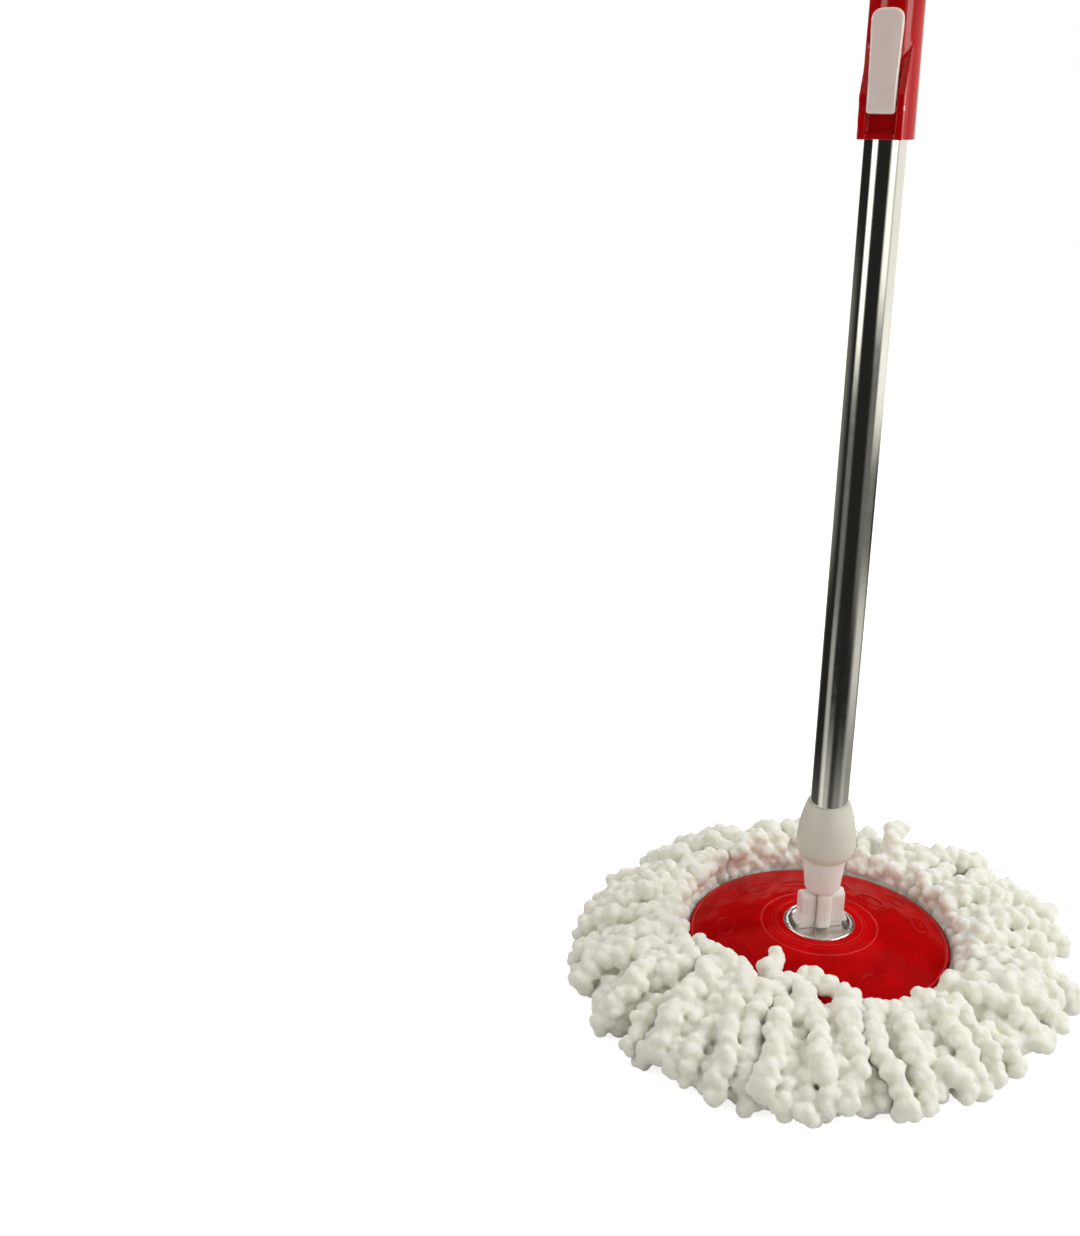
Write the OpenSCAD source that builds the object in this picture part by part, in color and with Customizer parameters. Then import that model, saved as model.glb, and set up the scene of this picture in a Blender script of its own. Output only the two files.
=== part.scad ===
// Round string mop with a hand-press pole and a cam clamp, in millimetres.
// The floor is z = 0, the pole stands along +Z and the tilt hinge lies along X.

/* [Head] */
// Diameter of the round plate
disc_d = 160; // [158:0.5:162]
// Height of the plate's rim above the floor
rim_z = 22; // [21.5:0.1:23]
// Rise of the plate from its rim to its hub
disc_rise = 10; // [9:0.5:11]
// Wall of the plate
plate_t = 2.4; // [2:0.1:2.6]
// Radius of the metal dish over its rim
dish_r = 21.8; // [21.4:0.1:22.4]
// Depth of the dish
dish_depth = 2.2; // [1.8:0.1:2.6]
// Height of the tilt hinge over the floor of the dish
hinge_rise = 20.6; // [20:0.2:21.6]
// Radius of the centre socket under the plate
socket_r = 7.5; // [6:0.1:8]

/* [Strings] */
// Reach of the longest strands from the middle
string_reach = 153; // [150:0.5:156]
// Thickness of a strand
strand_d = 11; // [9:0.5:11]
// Height to which the top strands arch
string_crest = 33; // [31:0.5:34]
// Share by which the arch is higher on the ruffled side
string_ruffle = 0.25; // [0:0.05:0.3]
// Direction of the ruffled side
ruffle_turn = 150; // [0:5:355]

/* [Pole] */
// Outside diameter of the lower tube
lower_d = 22; // [21.9:0.05:22]
// Outside diameter of the two upper tubes
upper_d = 24.2; // [24.2:0.05:24.3]
// Wall of the tubes
tube_wall = 0.6; // [0.5:0.05:0.6]
// Height of the bottom edge of the clamp
clamp_z = 491; // [480:1:495]
// Height of the joint between the two upper tubes
joiner_z = 850; // [850:1:870]
// Height of the top of the hand grip
grip_top_z = 1205; // [1190:1:1220]
// Radius of the hanging hole
hang_r = 8; // [6:0.5:9]

/* [Press drive] */
// Rise of the twisted strip in one turn
twist_pitch = 100; // [90:1:120]
// Width of the twisted strip
strip_w = 7; // [6:0.1:7]
// Thickness of the twisted strip
strip_t = 2; // [1.6:0.1:2]
// Height of the top end of the lower tube
lower_top_z = 600; // [598:1:602]

/* [Clamp] */
// Turn of the clamp's front from the front of the head
clamp_turn = -33; // [-60:1:60]
// Height of the clamp body
clamp_h = 76; // [70:1:84]
// Length of the lever above its pin
lever_len = 46; // [40:1:50]

/* [Hidden] */
$fn = 64;
first_bundle = 7;
bundle_count = 12;

red = [0.75, 0.01, 0.04];
ivory = [0.92, 0.91, 0.87];
metal = [0.78, 0.79, 0.8];
yarn = [0.95, 0.95, 0.92];

// Gap between pieces that move past each other, and between pieces that are fixed together
run_gap = 0.3;
fix_gap = 0.05;
pin_gap = 0.1;

// Head heights
disc_r = disc_d / 2;
hub_z = rim_z + disc_rise;
dish_floor_z = hub_z - dish_depth;
dish_t = 0.8;
hub_floor_z = dish_floor_z - dish_t;
hub_floor_t = 2.8;
hub_under_z = hub_floor_z - hub_floor_t;
recess_r = dish_r - 1.2;
hinge_z = dish_floor_z + hinge_rise;

// Snap wall under the plate, the ring that hangs on it and the sewn band below the ring
snap_r = 52.6;
snap_wall = 2.6;
snap_bead = 1.1;
ring_z = rim_z - 7.2;
ring_t = 2.4;
ring_in_r = snap_r + 0.4;
ring_out_r = disc_r - 8;
band_z = ring_z - 4.6;
band_top_z = ring_z - 0.3;
band_in_r = 56;
band_out_r = disc_r - 9;

// Yoke and hinge
ear_in = 4.2;
ear_out = 13.6;
ear_r = 4.6;
ear_skin = 1.2;
ear_low_z = dish_floor_z + 4;
base_t = 0.6;
stem_half = 3.1;
foot_out = 16.4;
foot_half = 4.2;
foot_h = 7;
pin_r = 2;
screw_x = 11.3;
screw_r = 1.5;
screw_top_z = dish_floor_z + 11.4;
plate_r = 19;
plate_bottom_z = 10;
socket_depth = 9;

// Neck and collar
neck_low_z = hinge_z + ear_r + 0.5;
neck_top_z = 78;
neck_low_r = 10.7;
neck_top_r = 12.85;
tongue_half = ear_in - run_gap;
tongue_depth = 9.5;
tongue_end_r = hinge_rise - base_t - run_gap;
boss_r = 11.6;
tube_foot_z = 84;
spigot_top_z = 128;
collar_top_z = 114.5;
rivet_z = 100;
rivet_r = 2;

// Tubes
lower_r = lower_d / 2;
lower_in_r = lower_r - tube_wall;
upper_r = upper_d / 2;
upper_in_r = upper_r - tube_wall;
upper_foot_z = clamp_z + 28;
joiner_ring_h = 8;
top_tube_z = joiner_z + joiner_ring_h;
top_tube_end_z = grip_top_z - 15;
anchor_z = joiner_z - 16;

// Press drive
seat_low_z = lower_top_z - 34;
seat_floor_z = seat_low_z + 4;
seat_bore_r = 7.5;
rod_hole_r = norm([strip_w, strip_t]) / 2 + 0.7;
tooth_h = 1.8;
tooth_count = 6;
nut_r = seat_bore_r - run_gap;
nut_tip_z = seat_floor_z + tooth_h + 0.6;
nut_low_z = nut_tip_z + tooth_h;
nut_top_z = seat_floor_z + 20;
cap_low_z = lower_top_z - 6;
stop_h = 12;
stop_top_z = seat_low_z - 3;
rod_low_z = stop_top_z + 0.6;
rod_top_z = joiner_z - 4;
stud_r = 2.5;
stud_head_r = 5;
stud_head_h = 2;

// Clamp, with its front along -Y before it is turned
clamp_low_r = 14.2;
clamp_top_r = 13.5;
cheek_in = 7.5;
cheek_out = 11.2;
cheek_front = 18.8;
cheek_h = 21;
cheek_top = 46;
lever_pin_r = 1.5;
lever_pin_front = 16;
lever_pin_z = clamp_z + 15;
cam_r = 3;
cam_throw = 0.3;
pocket_floor = 12.35;
pocket_low = 3;
pocket_high = 24;
pad_half = 4.5;
pad_low = 14;
pad_high = 23;
pad_front = 12.3;
lever_half = cheek_in - run_gap;
lever_top_half = 8;
lever_wide_from = 13.5;
lever_corner = 5;
lever_front = 4.5;
lever_hollow = 0.6;
lever_hollow_r = 40;

// Grip and hanging eye
grip_low_z = grip_top_z - 165;
grip_r = 14.6;
grip_swell = 0.9;
grip_waves = 6;
eye_z = grip_top_z + 23;
eye_wall = 6;
eye_t = 10;

// Strands: tiers from the floor up, each with the radii and heights of its four curve points.
// The last tier is a few strands that curl back over the edge of the plate.
tier_count = 36;
strand_sides = 5;
strand_rings = 6;
strand_r = strand_d / 2;
variants = tier_count / 4;
tiers = [
    [[64, 9.8], [66, 1.6], [112, 4.2], [string_reach - 15, 4.2]],
    [[67, 10.4], [86, 9.2], [112, 19], [string_reach - 3, 5.2]],
    [[67, 10.4], [95, 4.6], [92, 1.8 * string_crest], [string_reach, 5.2]],
    [[67, 10.4], [102, 4], [98, 1.8 * string_crest], [64, 34]]
];
tier_shift = [0, 0.5, 0, 0.5];
tier_swell = [2.5, 1.2, 1.2, 1];
tier_girth = [1, 1, 1, 0.82];
top_tier = 2;
curl_tier = 3;
curl_first = 19;
curl_last = 25;

// Height of the plate's upper face at a radius
function disc_top(r) =
    rim_z + disc_rise * (1 - pow(max(0, (r - dish_r) / (disc_r - dish_r)), 1.35));

// A repeatable number from 0 to 1
function scatter(n) = let (v = sin(n * 78.233 + 12.9) * 437.585) v - floor(v);

function bezier(p, t) =
    pow(1 - t, 3) * p[0] + 3 * t * pow(1 - t, 2) * p[1] + 3 * t * t * (1 - t) * p[2] + pow(t, 3) * p[3];

// Gain in height of a top strand that points in a direction
function ruffle(tier, turn) =
    tier == top_tier ? 1 + string_ruffle * pow(cos((turn - ruffle_turn) / 2), 4) : 1;

// Middle line of a strand, from its root at t = 0 to its tip at t = 1
function strand_mid(tier, k, t) =
    let (
        seed = (k % variants) + 31 * tier,
        p = tiers[tier],
        reach = p[3][0] - 4 * scatter(seed),
        sway = 2.2 * (scatter(seed + 7) - 0.5) * t * t,
        turn = (k + tier_shift[tier]) * 360 / tier_count + sway,
        arch = [p[2][0], p[2][1] * ruffle(tier, turn)],
        flat = bezier([p[0], p[1], arch, [reach, p[3][1]]], t)
    )
    [flat[0] * cos(turn), flat[0] * sin(turn), flat[1]];

// Strand radius: thin where it is sewn in, full along its length and rounded at the tip
function strand_size(tier, t) =
    strand_r * tier_girth[tier] * min(1, 0.4 + tier_swell[tier] * t) * (t > 0.99 ? 0.6 : 1);

function unit(v) = v / norm(v);

// One ring of points around the middle line, with a flat side down
function strand_ring(tier, k, t) =
    let (
        mid = strand_mid(tier, k, t),
        ahead = unit(strand_mid(tier, k, t + 0.02) - strand_mid(tier, k, t - 0.02)),
        turn = (k + tier_shift[tier]) * 360 / tier_count,
        side = [-sin(turn), cos(turn), 0],
        rise = unit(cross(ahead, side)),
        size = strand_size(tier, t)
    )
    [for (j = [0:strand_sides - 1])
        let (a = 90 + 360 * j / strand_sides) mid + size * (cos(a) * side + sin(a) * rise)];

module strand(tier, k) {
    last = strand_rings - 1;
    n = strand_sides;
    points = [for (i = [0:last]) each strand_ring(tier, k, i / last)];
    walls = [for (i = [0:last - 1], j = [0:n - 1]) each
        let (a = i * n + j, b = i * n + (j + 1) % n) [[a, a + n, b], [b, a + n, b + n]]];
    root = [for (j = [1:n - 2]) [0, j, j + 1]];
    tip = [for (j = [1:n - 2]) [last * n, last * n + j + 1, last * n + j]];
    polyhedron(points, concat(walls, root, tip));
}

// A strip twisted to the left hand of the pole, lined up flat at the anchor pin
module twisted_strip(w, t, low_z, high_z) {
    h = high_z - low_z;
    translate([0, 0, low_z])
        rotate(360 * (low_z - anchor_z) / twist_pitch)
            linear_extrude(height = h, twist = -360 * h / twist_pitch, slices = ceil(h / 5), segments = 16)
                square([w, t], center = true);
}

module tube(outer_r, inner_r, low_z, high_z) {
    difference() {
        translate([0, 0, low_z]) cylinder(r = outer_r, h = high_z - low_z);
        translate([0, 0, low_z - 1]) cylinder(r = inner_r, h = high_z - low_z + 2);
    }
}

module cross_bore(r, z, half) {
    translate([-half, 0, z]) rotate([0, 90, 0]) cylinder(r = r, h = 2 * half);
}

module hub_holes(r, low_z, high_z) {
    for (x = [-screw_x, screw_x])
        translate([x, 0, low_z]) cylinder(r = r, h = high_z - low_z);
}

// A long oval lying along the slope of the plate, for the dimples
module dimple(r, turn) {
    length = 16;
    width = 9;
    depth = 0.5;
    slope = atan((disc_top(r - 8) - disc_top(r + 8)) / 16);
    rotate(turn)
        translate([r, 0, disc_top(r)])
            rotate([0, slope, 0])
                translate([0, 0, -depth]) {
                    cube_l = length - width;
                    translate([-cube_l / 2, -width / 2, 0]) cube([cube_l, width, 4]);
                    for (s = [-1, 1]) translate([s * cube_l / 2, 0, 0]) cylinder(d = width, h = 4);
                }
}

// Ratchet teeth on a ring, pointing up from z = 0
module ratchet_teeth() {
    tooth_w = 4.6;
    for (i = [0:tooth_count - 1])
        rotate(i * 360 / tooth_count)
            translate([4.8, 0, 0])
                rotate([90, 0, 90])
                    linear_extrude(height = 2.2)
                        polygon([
                            [-tooth_w / 2, -0.5], [tooth_w / 2, -0.5],
                            [tooth_w / 2, tooth_h], [-tooth_w / 2, 0]
                        ]);
}

module mop_disc() {
    ridge_radii = [26.4, 35.3];
    ridge_h = 0.6;
    skirt_h = 2.4;
    slope_steps = 8;
    slope_radii = [for (i = [1:slope_steps - 1]) 37 + (disc_r - 1 - 37) * i / slope_steps];
    ridges = [for (r = ridge_radii) each [
        [r - 1, disc_top(r - 1)], [r - 0.4, disc_top(r) + ridge_h],
        [r + 0.4, disc_top(r) + ridge_h], [r + 1, disc_top(r + 1)]
    ]];
    under = [for (i = [slope_steps:-1:0])
        let (r = snap_r + (disc_r - 2 - snap_r) * i / slope_steps) [r, disc_top(r) - plate_t]];
    snap_low = ring_z - 1.4;
    color(red) difference() {
        rotate_extrude() polygon(concat(
            [[0, hub_floor_z], [recess_r, hub_floor_z], [recess_r, hub_z], [dish_r + 0.6, hub_z]],
            ridges,
            [for (r = slope_radii) [r, disc_top(r)]],
            [[disc_r - 1, disc_top(disc_r - 1)], [disc_r, rim_z - 0.8], [disc_r, rim_z - skirt_h],
             [disc_r - 2, rim_z - skirt_h]],
            under,
            [[snap_r, ring_z - 0.3], [snap_r + snap_bead, ring_z - 0.3],
             [snap_r, snap_low], [snap_r - snap_wall, snap_low],
             [snap_r - snap_wall, disc_top(snap_r - snap_wall) - plate_t],
             [36, disc_top(36) - plate_t], [recess_r + 2.4, disc_top(recess_r + 2.4) - plate_t],
             [recess_r + 2.4, hub_under_z], [0, hub_under_z]]
        ));
        for (i = [0:9]) dimple(i % 2 == 0 ? 54 : 62, 36 * i + 12);
        hub_holes(screw_r + 0.2, hub_under_z - 1, hub_floor_z + 1);
    }
}

module hub_dish() {
    lip_z = hub_z + 0.1;
    floor_r = 17.6;
    color(metal) difference() {
        rotate_extrude() polygon([
            [0, hub_floor_z], [floor_r + 0.3, hub_floor_z], [recess_r - 0.2, lip_z],
            [dish_r, lip_z], [dish_r, lip_z + dish_t], [recess_r - 0.7, lip_z + dish_t],
            [floor_r, dish_floor_z], [0, dish_floor_z]
        ]);
        hub_holes(screw_r + 0.2, hub_floor_z - 1, dish_floor_z + 1);
    }
}

module yoke_ear() {
    difference() {
        union() {
            translate([ear_in, 0, hinge_z])
                rotate([0, 90, 0]) cylinder(r = ear_r, h = ear_out - ear_in);
            translate([ear_in, -ear_r, ear_low_z])
                cube([ear_out - ear_in, 2 * ear_r, hinge_z - ear_low_z]);
            translate([ear_in, -stem_half, dish_floor_z])
                cube([ear_out - ear_in, 2 * stem_half, ear_low_z + 1 - dish_floor_z]);
            translate([0, foot_half, ear_low_z])
                rotate([90, 0, 0])
                    linear_extrude(height = 2 * foot_half)
                        polygon([
                            [ear_out - 1, 0], [foot_out, 0], [foot_out, 0.9],
                            [ear_out, foot_h], [ear_out - 1, foot_h]
                        ]);
        }
        cross_bore(pin_r + fix_gap, hinge_z, ear_out - ear_skin);
    }
}

module hub_yoke() {
    color(ivory) difference() {
        union() {
            yoke_ear();
            mirror([1, 0, 0]) yoke_ear();
            translate([-ear_out, -stem_half, dish_floor_z]) cube([2 * ear_out, 2 * stem_half, base_t]);
        }
        hub_holes(screw_r + fix_gap, dish_floor_z - 1, screw_top_z);
    }
}

module hub_screws() {
    head_h = 2.5;
    head_low_z = plate_bottom_z + 0.4;
    color(metal) difference() {
        union() {
            hub_holes(screw_r, head_low_z + head_h - 0.5, screw_top_z - 0.5);
            hub_holes(2.8, head_low_z, head_low_z + head_h);
        }
        for (x = [-screw_x, screw_x])
            translate([x - 1.9, -0.4, head_low_z - 1]) cube([3.8, 0.8, 2]);
    }
}

module hub_plate() {
    color(ivory) difference() {
        translate([0, 0, plate_bottom_z])
            cylinder(r = plate_r, h = hub_under_z - 0.1 - plate_bottom_z);
        translate([0, 0, plate_bottom_z - 1]) cylinder(r = socket_r, h = socket_depth + 1);
        hub_holes(3.1, plate_bottom_z - 1, plate_bottom_z + 3);
        hub_holes(screw_r + 0.2, plate_bottom_z, hub_under_z + 1);
    }
}

module hinge_pin() {
    color(metal) cross_bore(pin_r, hinge_z, ear_out - ear_skin - 0.3);
}

module refill_ring() {
    lip_top_z = disc_top(ring_out_r) - plate_t - 0.6;
    color(ivory) rotate_extrude() polygon([
        [ring_in_r, ring_z], [ring_out_r, ring_z], [ring_out_r, lip_top_z],
        [ring_out_r - 2.4, lip_top_z], [ring_out_r - 2.4, ring_z + ring_t],
        [ring_in_r, ring_z + ring_t]
    ]);
}

module string_bundle(i) {
    per_bundle = tier_count / bundle_count;
    span = 360 / bundle_count;
    edge = 0.3;
    color(yarn) difference() {
        union() {
            rotate(span * i - 2.5 + edge)
                rotate_extrude(angle = span - 2 * edge)
                    translate([band_in_r, band_z])
                        square([band_out_r - band_in_r, band_top_z - band_z]);
            for (tier = [0:top_tier], j = [0:per_bundle - 1]) strand(tier, per_bundle * i + j);
            for (k = [curl_first:curl_last]) if (floor(k / per_bundle) == i) strand(curl_tier, k);
        }
        translate([-200, -200, -20]) cube([400, 400, 20]);
    }
}

module neck_knuckle() {
    color(ivory) difference() {
        union() {
            rotate_extrude() polygon([
                [0, neck_low_z], [neck_low_r - 1.5, neck_low_z], [neck_low_r, neck_low_z + 2],
                [neck_top_r, neck_top_z], [boss_r, neck_top_z], [boss_r, tube_foot_z],
                [lower_in_r - fix_gap, tube_foot_z], [lower_in_r - fix_gap, spigot_top_z],
                [0, spigot_top_z]
            ]);
            intersection() {
                cross_bore(tongue_end_r, hinge_z, tongue_half);
                translate([0, 0, dish_floor_z]) cylinder(r = tongue_depth, h = 40);
                union() {
                    cross_bore(tongue_depth, hinge_z, tongue_half);
                    translate([-tongue_half, -tongue_depth, dish_floor_z])
                        cube([2 * tongue_half, 2 * tongue_depth, hinge_rise]);
                }
            }
        }
        cross_bore(pin_r + pin_gap, hinge_z, 20);
        cross_bore(rivet_r + fix_gap, rivet_z, 20);
    }
}

module socket_collar() {
    color(ivory) rotate_extrude() polygon([
        [boss_r + 0.1, neck_top_z], [neck_top_r, neck_top_z], [15.6, 80.2], [17, 83.6],
        [17.5, 88], [17.4, 93], [16.8, 99], [15.4, 106], [13.6, 112], [12.9, collar_top_z],
        [lower_r + 0.1, collar_top_z], [lower_r + 0.1, tube_foot_z], [boss_r + 0.1, tube_foot_z]
    ]);
}

module tube_rivet() {
    color(metal) cross_bore(rivet_r, rivet_z, lower_r - 0.1);
}

module lower_tube() {
    color(metal) difference() {
        tube(lower_r, lower_in_r, tube_foot_z, lower_top_z);
        cross_bore(rivet_r + fix_gap, rivet_z, 20);
    }
}

module ratchet_seat() {
    color(ivory) {
        difference() {
            union() {
                translate([0, 0, seat_low_z])
                    cylinder(r = lower_in_r - fix_gap, h = lower_top_z - seat_low_z + 0.1);
                translate([0, 0, lower_top_z]) cylinder(r = upper_in_r - run_gap, h = 3);
            }
            translate([0, 0, seat_floor_z]) cylinder(r = seat_bore_r, h = 60);
            translate([0, 0, seat_low_z - 1]) cylinder(r = rod_hole_r, h = 20);
        }
        translate([0, 0, seat_floor_z]) ratchet_teeth();
    }
}

module seat_cap() {
    color(ivory) tube(seat_bore_r - fix_gap, rod_hole_r, cap_low_z, lower_top_z + 2.5);
}

module drive_nut() {
    color(ivory) {
        difference() {
            translate([0, 0, nut_low_z]) cylinder(r = nut_r, h = nut_top_z - nut_low_z);
            twisted_strip(strip_w + 2 * run_gap, strip_t + 2 * run_gap, nut_low_z - 5, nut_top_z + 5);
        }
        translate([0, 0, nut_low_z]) mirror([0, 0, 1]) ratchet_teeth();
    }
}

module rod_end_stop() {
    color(ivory) tube(lower_in_r - 2 * run_gap, stud_r + run_gap, stop_top_z - stop_h, stop_top_z);
}

module drive_rod() {
    stud_low_z = stop_top_z - stop_h - 0.6;
    color(metal) difference() {
        union() {
            twisted_strip(strip_w, strip_t, rod_low_z, rod_top_z);
            translate([0, 0, stud_low_z]) cylinder(r = stud_r, h = rod_low_z + 3 - stud_low_z);
            translate([0, 0, stud_low_z - stud_head_h]) cylinder(r = stud_head_r, h = stud_head_h);
        }
        rotate(90) cross_bore(lever_pin_r + fix_gap, anchor_z, 20);
    }
}

module anchor_pin() {
    color(metal) rotate(90) cross_bore(lever_pin_r, anchor_z, upper_r - 0.1);
}

module upper_tube() {
    color(metal) difference() {
        tube(upper_r, upper_in_r, upper_foot_z, joiner_z);
        rotate(90) cross_bore(lever_pin_r + fix_gap, anchor_z, 20);
    }
}

module tube_joiner() {
    spigot_r = upper_in_r - fix_gap;
    ring_r = upper_r + 0.9;
    color(ivory) difference() {
        union() {
            translate([0, 0, joiner_z - 32]) cylinder(r = spigot_r, h = 32.1);
            translate([0, 0, joiner_z]) cylinder(r = ring_r, h = joiner_ring_h);
            translate([0, 0, top_tube_z - 0.1]) cylinder(r = spigot_r, h = 34);
        }
        translate([0, 0, joiner_z - 33]) cylinder(r = rod_hole_r, h = 31);
        rotate(90) cross_bore(lever_pin_r + fix_gap, anchor_z, 20);
    }
}

module top_tube() {
    color(metal) tube(upper_r, upper_in_r, top_tube_z, top_tube_end_z);
}

module hand_grip() {
    h = grip_top_z - grip_low_z;
    steps = 4 * grip_waves;
    wave = [for (i = [1:steps - 1])
        [grip_r - grip_swell * cos(360 * grip_waves * i / steps), grip_low_z + h * i / steps]];
    color(red) rotate_extrude() polygon(concat(
        [[upper_r + fix_gap, grip_low_z], [grip_r - 1, grip_low_z]],
        wave,
        [[grip_r, grip_top_z], [upper_r + fix_gap, grip_top_z]]
    ));
}

module hang_cap() {
    eye_r = hang_r + eye_wall;
    color(ivory) difference() {
        union() {
            translate([0, 0, top_tube_end_z - 30]) cylinder(r = upper_in_r - fix_gap, h = 30.1);
            translate([0, 0, top_tube_end_z]) cylinder(r = upper_r - fix_gap, h = 15.2);
            translate([0, 0, grip_top_z + 0.1]) cylinder(r1 = grip_r, r2 = grip_r - 2, h = 8);
            translate([0, eye_t / 2, eye_z])
                rotate([90, 0, 0]) cylinder(r = eye_r, h = eye_t);
            translate([-eye_r + 2, -eye_t / 2, grip_top_z + 7])
                cube([2 * eye_r - 4, eye_t, eye_z - grip_top_z - 12]);
        }
        translate([0, eye_t, eye_z]) rotate([90, 0, 0]) cylinder(r = hang_r, h = 2 * eye_t);
    }
}

// A side wall of the clamp's pocket, growing out of the sleeve from top to bottom
module clamp_cheek() {
    translate([cheek_in, 0, clamp_z])
        rotate([90, 0, 90])
            linear_extrude(height = cheek_out - cheek_in)
                polygon([
                    [-5, 0], [1.4 - cheek_front, 0], [-cheek_front, cheek_h],
                    [-8, cheek_top], [-5, cheek_top]
                ]);
}

module clamp_body() {
    color(red) rotate(clamp_turn) difference() {
        union() {
            translate([0, 0, clamp_z]) cylinder(r1 = clamp_low_r, r2 = clamp_top_r, h = clamp_h);
            clamp_cheek();
            mirror([1, 0, 0]) clamp_cheek();
            translate([-cheek_in - 1, -15.2, clamp_z]) cube([2 * cheek_in + 2, 10, pocket_low]);
        }
        translate([0, 0, clamp_z - 1]) cylinder(r = lower_r + run_gap, h = clamp_h);
        translate([0, 0, upper_foot_z]) cylinder(r = upper_r + fix_gap, h = clamp_h);
        translate([-cheek_in, -40, clamp_z + pocket_low])
            cube([2 * cheek_in, 40 - pocket_floor, pocket_high - pocket_low]);
        translate([-pad_half - 0.2, -20, clamp_z + pad_low - 0.2])
            cube([2 * pad_half + 0.4, 12, pad_high - pad_low + 0.4]);
        translate([0, -lever_pin_front, 0]) cross_bore(lever_pin_r + fix_gap, lever_pin_z, 20);
    }
}

module brake_pad() {
    color(ivory) rotate(clamp_turn) difference() {
        translate([-pad_half, -pad_front, clamp_z + pad_low])
            cube([2 * pad_half, pad_front - 9, pad_high - pad_low]);
        translate([0, 0, clamp_z]) cylinder(r = lower_r + run_gap, h = 40);
    }
}

module lever_pin() {
    color(ivory) rotate(clamp_turn)
        translate([0, -lever_pin_front, 0]) cross_bore(lever_pin_r, lever_pin_z, cheek_out - 0.1);
}

// Front view of the lever, upright from its pin, with round upper corners
module lever_outline() {
    corner_steps = 6;
    corner_z = lever_len - lever_corner;
    corner_x = lever_top_half - lever_corner;
    round_right = [for (i = [0:corner_steps])
        let (a = 90 * i / corner_steps) [corner_x + lever_corner * cos(a), corner_z + lever_corner * sin(a)]];
    round_left = [for (i = [corner_steps:-1:0]) [-round_right[i][0], round_right[i][1]]];
    polygon(concat(
        [[-lever_half, lever_wide_from], [-lever_half, -5], [lever_half, -5], [lever_half, lever_wide_from]],
        round_right,
        round_left
    ));
}

// The lever lies along the clamp; its eccentric hub bears on the pad
module lock_lever() {
    front = -lever_front;
    color(ivory) rotate(clamp_turn)
        translate([0, -lever_pin_front, lever_pin_z]) difference() {
            union() {
                translate([0, cam_throw, 0]) cross_bore(cam_r, 0, lever_half);
                intersection() {
                    translate([-lever_top_half, 0, 0])
                        rotate([90, 0, 90])
                            linear_extrude(height = 2 * lever_top_half)
                                polygon([
                                    [0, 0], [-2.2, -3.2], [-4, -2.6], [front, 2], [front, lever_len - 4],
                                    [-3.6, lever_len], [-1.2, lever_len], [-0.4, lever_len - 6],
                                    [-0.4, 7], [1, 2.4]
                                ]);
                    translate([0, 10, 0]) rotate([90, 0, 0]) linear_extrude(height = 20) lever_outline();
                }
            }
            translate([0, front + lever_hollow - lever_hollow_r, 7])
                cylinder(r = lever_hollow_r, h = lever_len - 12, $fn = 180);
            cross_bore(lever_pin_r + pin_gap, 0, 20);
        }
}

mop_disc();
hub_dish();
hub_yoke();
hub_screws();
hub_plate();
hinge_pin();
refill_ring();
for (i = [0:bundle_count - 1])
    string_bundle(i);
neck_knuckle();
socket_collar();
tube_rivet();
lower_tube();
ratchet_seat();
seat_cap();
drive_nut();
rod_end_stop();
drive_rod();
anchor_pin();
upper_tube();
tube_joiner();
top_tube();
hand_grip();
hang_cap();
clamp_body();
brake_pad();
lever_pin();
lock_lever();
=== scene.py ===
"""Looks of a round string mop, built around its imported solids.

Sizes are in millimetres unless a comment says otherwise, and MM turns them into Blender's metres.
Directions round the pole are in degrees from +X, counted towards +Y.
"""
import math
import random

import bmesh
import bpy
import numpy as np
from mathutils import Matrix, Vector, noise


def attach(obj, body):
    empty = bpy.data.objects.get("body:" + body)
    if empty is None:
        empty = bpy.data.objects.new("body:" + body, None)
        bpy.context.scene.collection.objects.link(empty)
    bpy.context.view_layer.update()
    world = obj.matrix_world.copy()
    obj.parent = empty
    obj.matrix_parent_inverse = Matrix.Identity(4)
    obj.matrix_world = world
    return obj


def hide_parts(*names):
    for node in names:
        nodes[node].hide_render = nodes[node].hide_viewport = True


MM = 0.001

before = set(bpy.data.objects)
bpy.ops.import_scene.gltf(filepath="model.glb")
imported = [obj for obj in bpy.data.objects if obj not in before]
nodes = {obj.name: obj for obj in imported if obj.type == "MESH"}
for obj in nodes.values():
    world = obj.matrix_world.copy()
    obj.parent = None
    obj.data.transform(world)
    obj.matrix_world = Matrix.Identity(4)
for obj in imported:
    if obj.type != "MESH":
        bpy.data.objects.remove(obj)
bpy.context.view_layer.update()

# Head sizes, as in the solids
DISC_R = 80.0
RIM_Z = 22.0
DISC_RISE = 10.0
DOME_POWER = 1.35
DISH_R = 21.8
DISH_DEPTH = 2.2
HUB_Z = RIM_Z + DISC_RISE
PLATE_T = 2.4
SKIRT_H = 2.4
RING_Z = RIM_Z - 7.2
RING_OUT_R = DISC_R - 8
BAND_IN_R = 56.0
BAND_OUT_R = DISC_R - 9
BAND_LOW_Z = RING_Z - 4.6
BAND_TOP_Z = RING_Z - 0.3
SNAP_R = 52.6
BUNDLES = 12


def disc_top(r):
    """Height of the plate's upper face at a radius."""
    share = np.clip((np.asarray(r, float) - DISH_R) / (DISC_R - DISH_R), 0, None)
    return RIM_Z + DISC_RISE * (1 - share**DOME_POWER)


# Camera: its place in metres, its angles in radians and the direction of its side in degrees

PHOTO_H = 1236
FOCAL_PX = 1439.4
SENSOR_MM = 36.0
CAMERA_AT = (-0.2869, -0.7350, 0.5155)
CAMERA_YAW = math.radians(-8.6)
CAMERA_PITCH = 0.354586
CAMERA_ROLL = 0.00709
CAMERA_SIDE = math.degrees(math.atan2(CAMERA_AT[1], CAMERA_AT[0]))


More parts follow.
